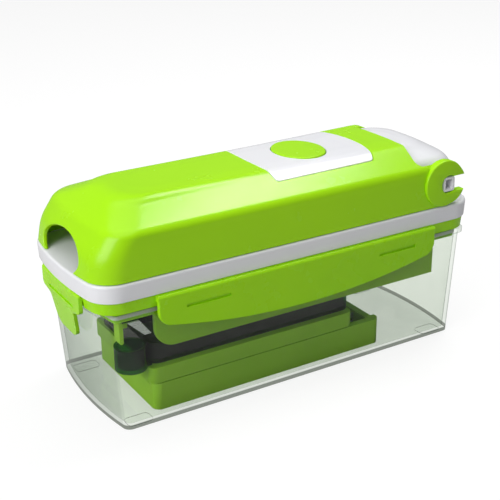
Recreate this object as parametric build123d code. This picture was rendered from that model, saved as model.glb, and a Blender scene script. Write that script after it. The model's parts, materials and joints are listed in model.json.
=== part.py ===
from build123d import *
import math
import os

# Vegetable dicer on its storage box. Units are millimetres.
# X runs along the object: the finger arch is at -X and the cover hinge at +X.
# Y is the depth, Z is up, and the origin is the centre of the box's underside.

# ---- driving dimensions -------------------------------------------------
OVERALL_LENGTH = 276.0
FRAME_WIDTH = 100.0
END_RADIUS = 240.0          # plan radius of the bowed ends
RUNNING_GAP = 0.05          # radial clearance in a hinge
FIT_GAP = 0.25              # gap between parts that drop into each other

BOX_HEIGHT = 74.8
BOX_FOOT_HALF = (125.2, 47.0)
BOX_TOP_HALF = (130.6, 47.4)
BOX_CORNER = 5.0
BOX_WALL = 2.2
BOX_FLOOR = 3.2
FOOT_HEIGHT = 0.4
RIM_HALF = (133.2, 49.2)
RIM_BOTTOM = 71.6

LID_BOTTOM = 75.0
LID_TOP = 82.2
LID_HALF = (136.2, 48.8)
LID_PLATE = 2.4
PLUG_BOTTOM = 68.5
SEAL = (70.6, 73.0)         # z span of the seal ring
SEAL_DEPTH = 1.6

FRAME_BOTTOM = 82.4
FRAME_TOP = 93.2
FRAME_WALL = 2.6
FRAME_CORNER = 17.0
DECK = 4.5

COVER_BOTTOM = 93.5
COVER_TOP = 132.2
COVER_WALL = 2.4
COVER_REAR = 89.5           # where the top skin of the cover stops
COVER_TAIL = 124.8          # the cover's side walls are drawn this far, then cut at the ears
EAR_INNER = 44.8
EAR_OUTER = 50.4
HINGE = (111.2, 107.8)      # x and z of the cover hinge
PIN_FLAT = 9.6
PIN_ROUND = 5.9
EAR_CENTRE = (107.6, 108.9)
EAR_RADIUS = 15.4
EAR_LOWER_RADIUS = 13.4

DOME_LEFT = 91.5
DOME_WALL = 2.4

LATCH_THICK = 2.4
LATCH_BEAD = 1.6
SIDE_LATCH_AXIS = (-51.0, 80.4)     # y and z of the front latch hinge
END_LATCH_AXIS = (-135.2, 80.4)     # x and z of the arch-end latch hinge
SIDE_LATCH_HALF = 99.5
SIDE_LATCH_LOW = (53.2, 64.5)   # lower edge at the middle and at the ends
SIDE_LATCH_SLOTS = (-67.5, 69.0)
END_LATCH_HALF = 27.5
END_LATCH_TONGUE_HALF = 17.0
END_LATCH_TIP = 49.5
END_LATCH_LEAN = 3.6
HOOK_LOW = 68.6
HOOK_TOP = 71.3             # top of the latch hooks, just under the box rim
HOOK_NOSE = 0.9

GRID_LEFT = -100.0          # opening of the grid insert
GRID_FINE = 6.0
GRID_COARSE = 12.0
FINE_ROWS = 15
COARSE_ROWS = 5
GRID_HALF = 36.0
BLADE = 0.5
BLADE_BOTTOM = 84.8
BLADE_TOP = 92.5
NOTCH = BLADE + 0.1
TANG = 2.0                  # how far a blade's end reaches into the insert frame

PUSHER_Z = 108.0            # underside of the pusher plate
PUSHER_TIP = 91.6           # lower end of its pegs
POST_TOP = 129.2

BUTTON_X = 27.9
BUTTON_AXES = (16.3, 19.6)
PANEL_SPAN = (-11.0, 69.0)
PANEL_HALF = 33.5
PANEL_THICK = 1.3
BUTTON_GAP = 0.35
BUTTON_BASE = 126.0
BUTTON_TOP = 132.9
SPRING_SEAT = 119.0

ARCH_CENTRE = 100.6         # height of the finger arch's ellipse
ARCH_AXES = (27.4, 13.2)

TRAY_HALF = 40.7            # half depth of the stored inserts
STRIP = (-99.0, 66.5, BOX_FLOOR + 0.05, 20.8)   # stored inserts as (x0, x1, z0, z1)
WEDGE = (-101.0, 44.5, 21.2, 31.4)
SLICER = (-97.0, 109.0, 43.6, 68.0)
WEDGE_CENTRE = -62.0        # x of the wedge cutter's round opening
WEDGE_RADIUS = 34.0
HOLDER = (-99.0, 46.0, 31.5, 44.6)
HOLDER_HALF = 36.0
HOLDER_WALL = 1.8
CUP = (-109.0, -31.5)       # plan centre of the holder's round cup
CUP_RADIUS = 9.6
CUP_TOP = 46.2
PEELER_Y = (-39.0, -37.8)
PEELER_TOP = 64.2
PEELER_LOW = 54.2


# ---- shared shapes -------------------------------------------------------
def block(x0, x1, y0, y1, z0, z1):
    """Box between two corners."""
    return Pos((x0 + x1) / 2, (y0 + y1) / 2, (z0 + z1) / 2) * Box(x1 - x0, y1 - y0, z1 - z0)


def prism(face, z0, z1):
    """Flat plan extruded from z0 to z1."""
    return extrude(Pos(0, 0, z0) * face, amount=z1 - z0)


def round_corner(reach, half_width, corner):
    """Points on the side, halfway and on the bowed end of the corner arc at plus x, plus y."""
    bow_x = reach - END_RADIUS
    arc_y = half_width - corner
    arc_x = bow_x + math.sqrt((END_RADIUS - corner) ** 2 - arc_y ** 2)
    to_end = math.atan2(arc_y, arc_x - bow_x)
    angles = (math.pi / 2, (to_end + math.pi / 2) / 2, to_end)
    return [(arc_x + corner * math.cos(a), arc_y + corner * math.sin(a)) for a in angles]


def end_edge(reach, half_width, corner, way):
    """Bowed end with its two rounded corners, from the plus y side to the minus y side."""
    side, middle, end = [(way * x, y) for x, y in round_corner(reach, half_width, corner)]
    edge = ThreePointArc(side, middle, end)
    edge += ThreePointArc(end, (way * reach, 0), (end[0], -end[1]))
    return edge + ThreePointArc((end[0], -end[1]), (middle[0], -middle[1]), (side[0], -side[1]))


def plan(half_length, half_width, corner):
    """Straight long sides, bowed ends and rounded corners."""
    side_x = round_corner(half_length, half_width, corner)[0][0]
    edge = end_edge(half_length, half_width, corner, 1) + end_edge(half_length, half_width, corner, -1)
    edge += Line((side_x, half_width), (-side_x, half_width))
    edge += Line((side_x, -half_width), (-side_x, -half_width))
    return make_face(edge)


def nose_plan(half_width, reach, tail, corner, way):
    """As plan, but bowed at the nose end only and square at the tail."""
    side_x = way * round_corner(reach, half_width, corner)[0][0]
    edge = end_edge(reach, half_width, corner, way)
    edge += Line((side_x, half_width), (tail, half_width))
    edge += Line((tail, half_width), (tail, -half_width))
    edge += Line((tail, -half_width), (side_x, -half_width))
    return make_face(edge)


def tapered(lower, upper, z0, z1):
    """Ruled loft between two plans."""
    return loft([Pos(0, 0, z0) * lower, Pos(0, 0, z1) * upper], ruled=True)


def rounded_bar(x0, x1, half_width, z0, z1, corner):
    """Block with rounded vertical corners, centred on the long axis."""
    face = Pos((x0 + x1) / 2, 0) * RectangleRounded(x1 - x0, 2 * half_width, corner)
    return prism(face, z0, z1)


def mirrored_y(shape):
    """The shape and its mirror image across the long axis."""
    return [shape, shape.mirror(Plane.XZ)]


# ---- crown surface shared by the cover and the hinge housing --------------
# Profiles from the lower edge up to the flat top, as (outward, z, bend radius).
COVER_SIDE = ((49.2, COVER_BOTTOM), (48.7, 106.0, 600), (47.9, 120.3, 5.5),
              (25.2, 131.9, 16), (18.0, COVER_TOP))
COVER_NOSE = ((137.3, COVER_BOTTOM), (134.9, 106.0, 26), (126.0, 120.0, 14),
              (107.0, 131.9, 24), (92.0, COVER_TOP))
DOME_SIDE = ((43.2, FRAME_TOP), (43.0, 109.0, 50), (40.4, 122.6, 8), (24.0, 130.4, 16), (19.0, 131.1))
DOME_END = ((133.4, FRAME_TOP), (132.9, 107.0, 26), (127.4, 121.2, 13), (111.0, 130.4, 20), (105.0, 131.1))
CROWN_CORNER = 16.5         # plan corner radius of every ring
BEND_STEPS = 3


def bend(before, corner, after, radius):
    """Points of the arc that rounds one corner of a profile."""
    at = Vector(*corner[:2])
    into = (Vector(*before[:2]) - at).normalized()
    out = (Vector(*after[:2]) - at).normalized()
    half = math.acos(into.dot(out)) / 2
    centre = at + (into + out).normalized() * (radius / math.sin(half))
    first = at + into * (radius / math.tan(half)) - centre
    last = at + out * (radius / math.tan(half)) - centre
    start = math.atan2(first.Y, first.X)
    sweep = (math.atan2(last.Y, last.X) - start + math.pi) % (2 * math.pi) - math.pi
    angles = [start + sweep * k / BEND_STEPS for k in range(BEND_STEPS + 1)]
    return [(centre.X + radius * math.cos(a), centre.Y + radius * math.sin(a)) for a in angles]


def profile_points(corners):
    """A profile with its bends sampled."""
    points = [corners[0][:2]]
    for before, corner, after in zip(corners, corners[1:], corners[2:]):
        points += bend(before, corner, after, corner[2])
    return points + [corners[-1][:2]]


def inset_profile(points, inset):
    """Moves a profile of (outward, z) points inward along its normal."""
    moved = []
    for i, (out, z) in enumerate(points):
        before = points[max(i - 1, 0)]
        after = points[min(i + 1, len(points) - 1)]
        run = after[0] - before[0]
        rise = after[1] - before[1]
        size = math.hypot(run, rise)
        moved.append((out - inset * rise / size, z + inset * run / size))
    return moved


def crown(side, end, tail, way, inset=0.0):
    """Ruled loft from a side and an end profile. An inset one is a hollow, so it also runs out below."""
    sides = inset_profile(profile_points(side), inset)
    ends = inset_profile(profile_points(end), inset)
    sections = []
    for (half, side_z), (reach, end_z) in zip(sides, ends):
        corner = min(CROWN_CORNER, half - 1, abs(way * reach - tail) - 2) - inset / 2
        face = nose_plan(half, reach, tail, corner, way)
        slope = (end_z - side_z) / (way * reach)
        where = Plane(origin=(0, 0, side_z), x_dir=(1, 0, slope), z_dir=(-slope, 0, 1))
        sections.append(where * face)
    if inset:
        sections.insert(0, Pos(0, 0, -1) * sections[0])
    return loft(sections, ruled=True)


def cover_crown(inset=0.0):
    """Solid under the cover's skin."""
    return crown(COVER_SIDE, COVER_NOSE, COVER_TAIL + 2 * inset, -1, inset)


# ---- storage box ----------------------------------------------------------
def box_plan(height, inset=0.0):
    """Plan of the box wall at a height, moved inward by inset."""
    share = height / BOX_HEIGHT
    halves = [a + (b - a) * share - inset for a, b in zip(BOX_FOOT_HALF, BOX_TOP_HALF)]
    return plan(halves[0], halves[1], BOX_CORNER - 0.6 * inset)


def make_container():
    """Clear box with a rim flange for the latches and four moulded corner feet."""
    skin = tapered(box_plan(0), box_plan(BOX_HEIGHT), FOOT_HEIGHT, BOX_HEIGHT)
    rim = prism(plan(*RIM_HALF, 7.0), RIM_BOTTOM, BOX_HEIGHT)
    hollow = tapered(box_plan(0, BOX_WALL), box_plan(BOX_HEIGHT, BOX_WALL), BOX_FLOOR, BOX_HEIGHT + 1)
    solid = skin + rim - hollow
    for sx in (-1, 1):
        for sy in (-1, 1):
            foot = Pos(sx * 109.5, sy * 38.5) * RectangleRounded(16, 10, 3)
            solid += prism(foot, 0, FOOT_HEIGHT + 1)
    return solid


def groove(axis, radius, span, along):
    """Cylinder along a latch hinge line."""
    rod = Cylinder(radius, 2 * span)
    if along == "x":
        return Pos(0, axis[0], axis[1]) * Rot(0, 90, 0) * rod
    return Pos(axis[0], 0, axis[1]) * Rot(90, 0, 0) * rod


def make_storage_lid():
    """Closed lid: skirt, top plate, plug into the box and a nest for the cutting frame."""
    outer = plan(*LID_HALF, 15.5)
    foot = plan(LID_HALF[0] - 0.8, LID_HALF[1] - 0.5, 15.0)
    solid = tapered(foot, outer, LID_BOTTOM, LID_TOP)
    ledge_z = LID_TOP - 4.2
    side = SIDE_LATCH_AXIS[0] + 1.0
    ledge = block(-SIDE_LATCH_HALF, SIDE_LATCH_HALF, side, -45, ledge_z, LID_TOP)
    for part in mirrored_y(ledge):
        solid += part
    end = END_LATCH_AXIS[0] + 1.8
    half = END_LATCH_HALF + 0.6
    groove_radius = LATCH_BEAD + RUNNING_GAP
    for degrees in (0, 180):
        turn = Rot(0, 0, degrees)
        solid -= turn * block(end - 9, end, -half, half, LID_BOTTOM - 1, LID_TOP + 1)
        solid += turn * block(end - 0.8, end + 4, -END_LATCH_HALF, END_LATCH_HALF, ledge_z, LID_TOP)
        solid -= turn * groove(END_LATCH_AXIS, groove_radius, half, "y")
    for part in mirrored_y(groove(SIDE_LATCH_AXIS, groove_radius, SIDE_LATCH_HALF + 1, "x")):
        solid -= part
    skin = BOX_WALL + 0.7
    plug_outer = tapered(box_plan(PLUG_BOTTOM, skin), box_plan(LID_BOTTOM, skin),
                         PLUG_BOTTOM, LID_BOTTOM + 0.5)
    plug_inner = prism(box_plan(PLUG_BOTTOM, skin + 2.5), PLUG_BOTTOM - 1, LID_TOP - LID_PLATE)
    solid = solid + plug_outer - plug_inner
    nest_outer = plan(OVERALL_LENGTH / 2 - 5.0, FRAME_WIDTH / 2 - 5.0, 13.5)
    nest_inner = plan(OVERALL_LENGTH / 2 - 7.5, FRAME_WIDTH / 2 - 7.5, 11.5)
    solid += prism(nest_outer, LID_TOP - 0.5, LID_TOP + 2.2) - prism(nest_inner, LID_TOP - 1, LID_TOP + 3)
    seat = prism(box_plan(SEAL[0], BOX_WALL - 0.1), *SEAL)
    return solid - (seat - prism(box_plan(SEAL[0], BOX_WALL + SEAL_DEPTH), SEAL[0] - 1, SEAL[1] + 1))


def make_lid_seal():
    """Soft ring in the plug's groove."""
    ring = prism(box_plan(SEAL[0], BOX_WALL + 0.2), *SEAL)
    return ring - prism(box_plan(SEAL[0], BOX_WALL + SEAL_DEPTH), SEAL[0] - 1, SEAL[1] + 1)


# ---- latches ----------------------------------------------------------------
def hook_profile(root, reach):
    """Wedge that catches under the box rim, drawn as (outward, z)."""
    return make_face(Polyline((root, HOOK_LOW), (root, HOOK_TOP), (reach, HOOK_TOP),
                              (reach, HOOK_TOP - HOOK_NOSE), (root, HOOK_LOW)))


def make_side_latch():
    """Long front latch: hinge bead, plate with a bowed lower edge, hook and slots."""
    axis_y, axis_z = SIDE_LATCH_AXIS
    face_y = axis_y - LATCH_BEAD
    half = SIDE_LATCH_HALF
    low, end_low = SIDE_LATCH_LOW
    edge = Line((-half, axis_z), (half, axis_z))
    edge += Line((half, axis_z), (half, end_low))
    edge += ThreePointArc((half, end_low), (0, low), (-half, end_low))
    edge += Line((-half, end_low), (-half, axis_z))
    face = make_face(edge)
    face = fillet([v for v in face.vertices() if v.Y < axis_z - 1], 9)
    plate = extrude(Plane.XZ.offset(-face_y) * face, amount=-LATCH_THICK)
    front = plate.edges().filter_by_position(Axis.Y, face_y - 0.1, face_y + 0.1)
    plate = fillet(front.filter_by_position(Axis.Z, low - 3, axis_z - 2), 0.9)
    bead = groove(SIDE_LATCH_AXIS, LATCH_BEAD, half, "x")
    hook = extrude(Plane.YZ * hook_profile(axis_y + 0.7, -48.4), amount=80, both=True)
    latch = plate + bead + hook
    for centre in SIDE_LATCH_SLOTS:
        latch -= Pos(centre, face_y, 72.6) * Box(29, 2.2, 2.0)
    return latch


def end_latch_outline():
    """Wide bar with a narrower tongue below it, drawn as (y, z)."""
    axis_z, half, tongue = END_LATCH_AXIS[1], END_LATCH_HALF, END_LATCH_TONGUE_HALF
    tip_half = tongue - 3.5
    bar_low, tongue_high = 70.5, 68.0
    right = [(half, axis_z), (half, bar_low), (tongue, tongue_high), (tip_half, END_LATCH_TIP)]
    left = [(-y, z) for y, z in reversed(right)]
    outline = make_face(Polyline(*right, *left, right[0]))
    outline = fillet([v for v in outline.vertices() if v.Y < END_LATCH_TIP + 1], 8)
    return fillet([v for v in outline.vertices() if tongue_high - 1 < v.Y < bar_low + 1], 3.5)


def make_end_latch():
    """Arch-end latch: a wide upper bar and a tongue that leans in with the box wall."""
    axis_x, axis_z = END_LATCH_AXIS
    outside = axis_x - LATCH_BEAD
    inside = outside + LATCH_THICK
    low = END_LATCH_TIP - 3
    tongue = extrude(Plane.YZ.offset(outside - 10) * end_latch_outline(), amount=30)
    foot = outside + END_LATCH_LEAN
    profile = Polyline((outside, axis_z), (outside, 70), (foot, low), (foot + 2.2, low),
                       (inside, 68), (inside, axis_z), (outside, axis_z))
    slab = extrude(Plane.XZ * make_face(profile), amount=END_LATCH_HALF + 5, both=True)
    bead = groove(END_LATCH_AXIS, LATCH_BEAD, END_LATCH_HALF, "y")
    hook = extrude(Plane.XZ * hook_profile(inside - 0.3, -132.2), amount=20, both=True)
    latch = (slab & tongue) + bead + hook
    return latch - block(outside - 1, outside + 0.9, -18, 18, 71.6, 73.4)


# ---- cutting frame -----------------------------------------------------------
def border_x():
    """X of the blade between the fine and coarse zones."""
    return GRID_LEFT + GRID_FINE * FINE_ROWS


def grid_right():
    """X of the hinge end of the grid opening."""
    return border_x() + GRID_COARSE * COARSE_ROWS


def hinge_profile(flat, round_radius):
    """Rounded square of a hinge pin in the XZ plane."""
    return Rectangle(flat, flat) & Circle(round_radius)


def at_hinge(face, y0, y1):
    """Extrudes an XZ face centred on the hinge line from y0 to y1."""
    where = Plane(origin=(HINGE[0], y0, HINGE[1]), x_dir=(1, 0, 0), z_dir=(0, 1, 0))
    return extrude(where * face, amount=y1 - y0)


def make_base_frame():
    """White frame: skirt, deck with the insert opening, hinge housing and its hollow pins."""
    half_length = OVERALL_LENGTH / 2
    half_width = FRAME_WIDTH / 2
    draft, edge = 0.4, 0.8
    widest = plan(half_length, half_width, FRAME_CORNER)
    low = plan(half_length - draft, half_width - draft, FRAME_CORNER)
    high = plan(half_length - edge, half_width - edge, FRAME_CORNER - edge)
    shoulder = FRAME_TOP - 1.5
    skirt = tapered(low, widest, FRAME_BOTTOM, shoulder) + tapered(widest, high, shoulder, FRAME_TOP)
    wall = FRAME_WALL + edge
    hollow = prism(plan(half_length - wall, half_width - wall, FRAME_CORNER - wall),
                   FRAME_BOTTOM - 1, FRAME_TOP - DECK)
    left, right = GRID_LEFT - 8, grid_right() + 8
    flange = rounded_bar(left - 1.2 - FIT_GAP, right + 1.2 + FIT_GAP, GRID_HALF + 5.0 + FIT_GAP,
                         FRAME_TOP - 2.1, FRAME_TOP + 1, 4)
    body = rounded_bar(left - FIT_GAP, right + FIT_GAP, GRID_HALF + 3.6 + FIT_GAP, 80, FRAME_TOP, 3)
    frame = skirt - hollow - flange - body
    dome = crown(DOME_SIDE, DOME_END, DOME_LEFT, 1)
    dome -= crown(DOME_SIDE, DOME_END, DOME_LEFT + DOME_WALL, 1, DOME_WALL)
    frame += dome
    pin = hinge_profile(PIN_FLAT, PIN_ROUND)
    for way in (-1, 1):
        solid_pin = at_hinge(pin, way * 41.0, way * 49.8)
        frame += solid_pin
        frame -= at_hinge(Rectangle(5.4, 6.2), way * 44.0, way * 51.0)
    return frame


def fine_lines():
    """X of each crosswise blade in the fine zone, with the zone's border."""
    return [GRID_LEFT + GRID_FINE * i for i in range(1, FINE_ROWS + 1)]


def coarse_lines():
    """X of each crosswise blade in the coarse zone."""
    return [border_x() + GRID_COARSE * i for i in range(1, COARSE_ROWS)]


def long_lines(step):
    """Y of each lengthwise blade at a spacing."""
    count = round(2 * GRID_HALF / step)
    return [-GRID_HALF + step * i for i in range(1, count)]


def comb(length_from, length_to, cuts, notch_low):
    """Blade outline with half-lap notches, drawn as (position, height)."""
    middle = (BLADE_BOTTOM + BLADE_TOP) / 2
    centre = (length_from + length_to) / 2
    strip = Pos(centre, middle) * Rectangle(length_to - length_from, BLADE_TOP - BLADE_BOTTOM)
    depth = (BLADE_TOP - BLADE_BOTTOM) / 2 + 0.05
    height = BLADE_BOTTOM + depth / 2 - 0.02 if notch_low else BLADE_TOP - depth / 2 + 0.02
    for cut in cuts:
        strip -= Pos(cut, height) * Rectangle(NOTCH, depth + 0.04)
    return strip


def long_blade(y, length_to):
    """One lengthwise blade, notched from above."""
    lines = fine_lines() + (coarse_lines() if coarse_at(y) else [])
    cuts = [x for x in lines if x < length_to - 0.5]
    outline = comb(GRID_LEFT - TANG, length_to, cuts, False)
    where = Plane(origin=(0, y - BLADE / 2, 0), x_dir=(1, 0, 0), z_dir=(0, -1, 0))
    return extrude(where * outline, amount=-BLADE)


def coarse_at(y):
    """Whether a lengthwise blade also serves the coarse zone."""
    return any(abs(y - other) < 0.1 for other in long_lines(GRID_COARSE))


def make_long_blades():
    """Lengthwise blades: every second one runs through both zones."""
    blades = []
    for y in long_lines(GRID_FINE):
        length_to = grid_right() + TANG if coarse_at(y) else border_x() + 0.9
        blades.append(long_blade(y, length_to))
    return blades


def make_cross_blades():
    """Crosswise blades, notched from below over the lengthwise ones."""
    blades = []
    for x in fine_lines() + coarse_lines():
        step = GRID_FINE if x < border_x() + 1 else GRID_COARSE
        outline = comb(-GRID_HALF - TANG, GRID_HALF + TANG, long_lines(step), True)
        where = Plane(origin=(x - BLADE / 2, 0, 0), x_dir=(0, 1, 0), z_dir=(1, 0, 0))
        blades.append(extrude(where * outline, amount=BLADE))
    return blades


def make_grid_insert_frame():
    """Lime frame that holds the mounted blade grid and drops into the deck."""
    left, right = GRID_LEFT - 8, grid_right() + 8
    solid = rounded_bar(left, right, GRID_HALF + 3.6, FRAME_BOTTOM + 0.6, FRAME_TOP, 3)
    solid += rounded_bar(left - 1.2, right + 1.2, GRID_HALF + 5.0, FRAME_TOP - 2.0, FRAME_TOP, 4)
    solid -= block(GRID_LEFT, grid_right(), -GRID_HALF, GRID_HALF, 80, 96)
    slots = []
    for x in fine_lines() + coarse_lines():
        slots.append(block(x - NOTCH / 2, x + NOTCH / 2, -GRID_HALF - TANG - 0.05, GRID_HALF + TANG + 0.05,
                           BLADE_BOTTOM - 0.05, BLADE_TOP + 0.05))
    for y in long_lines(GRID_FINE):
        end = grid_right() + TANG + 0.05 if coarse_at(y) else border_x()
        slots.append(block(GRID_LEFT - TANG - 0.05, end, y - NOTCH / 2, y + NOTCH / 2,
                           BLADE_BOTTOM - 0.05, BLADE_TOP + 0.05))
    return solid - slots


# ---- cover -------------------------------------------------------------------
def panel_plan(grow):
    """Plan of the white top panel: straight front and back, curved ends."""
    left, right = PANEL_SPAN[0] - grow, PANEL_SPAN[1] + grow
    half = PANEL_HALF + grow
    edge = ThreePointArc((left + 1.6, -half), (left, 0), (left + 1.6, half))
    edge += Line((left + 1.6, half), (right - 7.0, half))
    edge += ThreePointArc((right - 7.0, half), (right, 0), (right - 7.0, -half))
    edge += Line((right - 7.0, -half), (left + 1.6, -half))
    return fillet(make_face(edge).vertices(), 2.0)


def button_hole(grow):
    """Elliptical plan of the release button."""
    return Pos(BUTTON_X, 0) * Ellipse(BUTTON_AXES[0] + grow, BUTTON_AXES[1] + grow)


def ear_solid(way):
    """Hinge ear on one side: a disc whose lower right stays close to the hinge line."""
    y0, y1 = way * EAR_INNER, way * EAR_OUTER
    shift_x, shift_z = EAR_CENTRE[0] - HINGE[0], EAR_CENTRE[1] - HINGE[1]
    flip = Pos(shift_x, shift_z) * Circle(EAR_RADIUS)
    keep = Pos(-40, 0) * Rectangle(80, 80) + Circle(EAR_LOWER_RADIUS) + Pos(20, 20) * Rectangle(40, 40)
    face = (flip + Circle(EAR_LOWER_RADIUS)) & keep
    ear = at_hinge_up(face, y0, y1)
    return ear - block(80, 140, -60, 60, 80, COVER_BOTTOM)


def at_hinge_up(face, y0, y1):
    """Extrudes a face drawn in x and z (z up) about the hinge line from y0 to y1."""
    where = Plane(origin=(HINGE[0], y0, HINGE[1]), x_dir=(1, 0, 0), z_dir=(0, -1, 0))
    return extrude(where * face, amount=-(y1 - y0))


def make_cover_shell():
    """Lime cover: thin crowned shell, finger arch, hinge ears and a recess for the panel."""
    shell = cover_crown() - cover_crown(COVER_WALL)
    shell -= block(COVER_REAR, 140, -EAR_INNER, EAR_INNER, 90, 140)
    shell -= block(EAR_CENTRE[0], 140, -60, 60, 90, 140)
    for way in (-1, 1):
        shell += ear_solid(way)
        seat = Circle(PIN_ROUND + RUNNING_GAP) + Pos(15, 0) * Rectangle(30, PIN_FLAT + 0.2)
        shell -= at_hinge_up(seat, way * 40, way * 60)
    arch = Plane.YZ.offset(-145) * Pos(0, ARCH_CENTRE) * Ellipse(*ARCH_AXES)
    shell -= extrude(arch, amount=30)
    shell -= prism(panel_plan(FIT_GAP), 110, 140) - cover_crown(PANEL_THICK)
    return shell - prism(button_hole(BUTTON_GAP), 110, 140)


def make_cover_panel():
    """White panel that lies flush in the cover, with the hole for the button."""
    skin = cover_crown() - cover_crown(PANEL_THICK - 0.05)
    panel = skin & prism(panel_plan(0), 110, 140)
    return panel - prism(button_hole(BUTTON_GAP), 110, 140)


def make_pusher_plate():
    """Plate with one square peg over each grid cell, and posts up to the cover."""
    solid = rounded_bar(GRID_LEFT + 1, grid_right() - 1, GRID_HALF - 1, PUSHER_Z, PUSHER_Z + 2.6, 4)
    fine_x = GRID_LEFT + GRID_FINE * FINE_ROWS / 2
    coarse_x = border_x() + GRID_COARSE * COARSE_ROWS / 2
    fine = Pos(fine_x, 0) * GridLocations(GRID_FINE, GRID_FINE, FINE_ROWS, 12)
    coarse = Pos(coarse_x, 0) * GridLocations(GRID_COARSE, GRID_COARSE, COARSE_ROWS, 6)
    pegs = [loc * Rectangle(4.2, 4.2) for loc in fine] + [loc * Rectangle(9.8, 9.8) for loc in coarse]
    solid += [prism(peg, PUSHER_TIP, PUSHER_Z + 0.2) for peg in pegs]
    post = Circle(3.6)
    for x in (-78, -28, 44.5):
        for y in (-16, 16):
            solid += prism(Pos(x, y) * post, PUSHER_Z + 0.4, POST_TOP - 0.2)
    return solid + prism(Pos(BUTTON_X, 0) * Circle(9), PUSHER_Z, SPRING_SEAT)


def make_release_button():
    """Oval button with a retaining flange and a guide stem for its spring."""
    cap = prism(button_hole(0), BUTTON_BASE, BUTTON_TOP)
    cap = fillet(cap.edges().filter_by_position(Axis.Z, BUTTON_TOP - 0.1, BUTTON_TOP + 0.1), 0.8)
    flange = prism(button_hole(1.6), BUTTON_BASE, BUTTON_BASE + 1.6)
    stem = prism(Pos(BUTTON_X, 0) * Circle(2.4), BUTTON_BASE - 4, BUTTON_BASE + 1)
    return cap + flange + stem


def make_button_spring():
    """Coil spring between the pusher's seat and the button."""
    turns, wire, radius = 4, 0.5, 4.6
    low, high = SPRING_SEAT + wire + 0.05, BUTTON_BASE - wire - 0.05
    path = Helix(pitch=(high - low) / turns, height=high - low, radius=radius)
    section = Plane(origin=path @ 0, z_dir=path % 0) * Circle(wire)
    coil = sweep(section, path=path, is_frenet=True)
    return Pos(BUTTON_X, 0, low) * coil


# ---- inserts stored in the box -------------------------------------------------
def insert_ring(x0, x1, z0, z1, rim):
    """Open rectangular insert frame."""
    solid = rounded_bar(x0, x1, TRAY_HALF, z0, z1, 5)
    return solid - rounded_bar(x0 + rim, x1 - rim, TRAY_HALF - rim, z0 - 1, z1 + 1, 2)


def make_strip_insert_frame():
    """Deep frame of the strip-cutting insert on the floor of the box."""
    x0, x1, z0, z1 = STRIP
    solid = insert_ring(x0, x1, z0, z1, 5)
    return solid - block(x0 - 1, x1 + 1, -34, 34, z1 - 2.2, z1 + 1)


def make_strip_blades():
    """Straight lengthwise blades and one divider of the strip insert."""
    x0, x1, z0, z1 = STRIP
    blades = []
    for i in range(-3, 4):
        blades.append(block(x0 + 5.05, -16.0, i * 9 - 0.3, i * 9 + 0.3, z0 + 6, z1 - 4))
    for i in (-1, 0, 1):
        blades.append(block(-15.0, x1 - 5.05, i * 18 - 0.3, i * 18 + 0.3, z0 + 6, z1 - 4))
    blades.append(block(-15.9, -15.1, -35.6, 35.6, z0 + 6, z1 - 4))
    return blades


def make_wedge_insert_frame():
    """Shallow frame with the round opening of the wedge cutter."""
    x0, x1, z0, z1 = WEDGE
    solid = rounded_bar(x0, x1, TRAY_HALF, z0, z1, 5)
    solid -= Pos(WEDGE_CENTRE, 0, z0) * Cylinder(WEDGE_RADIUS, 40)
    return solid - rounded_bar(-20, x1 - 6, 32, z0 + 3, z1 + 1, 4)


def make_wedge_blades():
    """Star of eight wedge blades in the round opening."""
    z0, z1 = WEDGE[2] + 2, WEDGE[3] - 1.5
    middle = Pos(WEDGE_CENTRE, 0, (z0 + z1) / 2)
    star = middle * Cylinder(4, z1 - z0)
    for i in range(4):
        star += middle * Rot(0, 0, 45 * i) * Box(2 * WEDGE_RADIUS - 0.2, 0.7, z1 - z0)
    return star - middle * Cylinder(3.2, 40)


def make_food_holder():
    """Tinted clear holder: a long open channel with a round cup at the arch end."""
    x0, x1, z0, z1 = HOLDER
    wall = HOLDER_WALL
    solid = rounded_bar(x0, x1, HOLDER_HALF, z0, z1, 8)
    solid -= rounded_bar(x0 + wall, x1 - wall, HOLDER_HALF - wall, z0 + wall, z1 + 1, 8 - wall)
    solid += block(CUP[0], x0 + 1.5, CUP[1] - 4, CUP[1] + 4, z0, z0 + wall)
    cup = Pos(*CUP, (z0 + CUP_TOP) / 2) * Cylinder(CUP_RADIUS, CUP_TOP - z0)
    bore = Pos(*CUP, z0 + wall + 10) * Cylinder(CUP_RADIUS - wall, 20)
    return solid + cup - bore


def make_slicer_frame():
    """Slicer plate with deep side rails whose lower corners are rounded."""
    x0, x1, z0, z1 = SLICER
    side = Pos((x0 + x1) / 2, (z0 + z1) / 2) * Rectangle(x1 - x0, z1 - z0)
    corner = [v for v in side.vertices() if v.X < 0 and v.Y < z0 + 1]
    side = fillet(corner, 13)
    solid = extrude(Plane.XZ * side, amount=TRAY_HALF, both=True)
    solid -= block(x0 - 1, x1 + 1, -TRAY_HALF + 3, TRAY_HALF - 3, z0 - 1, z1 - 3.5)
    solid -= block(-4, 6, -32, 32, z0, z1 + 1)
    return solid


def make_slicer_blade():
    """Straight steel blade across the slicer's slot."""
    z1 = SLICER[3]
    profile = Polyline((-3.9, z1 - 3.2), (5.0, z1 - 1.6), (5.9, z1 - 0.6), (-3.9, z1 - 2.2), (-3.9, z1 - 3.2))
    return extrude(Plane.XZ * make_face(profile), amount=31.9, both=True)


def make_peeler_blade():
    """Flat slanted steel blade standing near the front wall at the arch end."""
    outline = make_face(Polyline((-113.3, PEELER_TOP), (-105.9, PEELER_TOP), (-98.5, PEELER_LOW),
                                 (-102.9, PEELER_LOW), (-113.3, PEELER_TOP)))
    near, far = PEELER_Y
    return extrude(Plane.XZ.offset(-near) * outline, amount=near - far)


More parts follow.
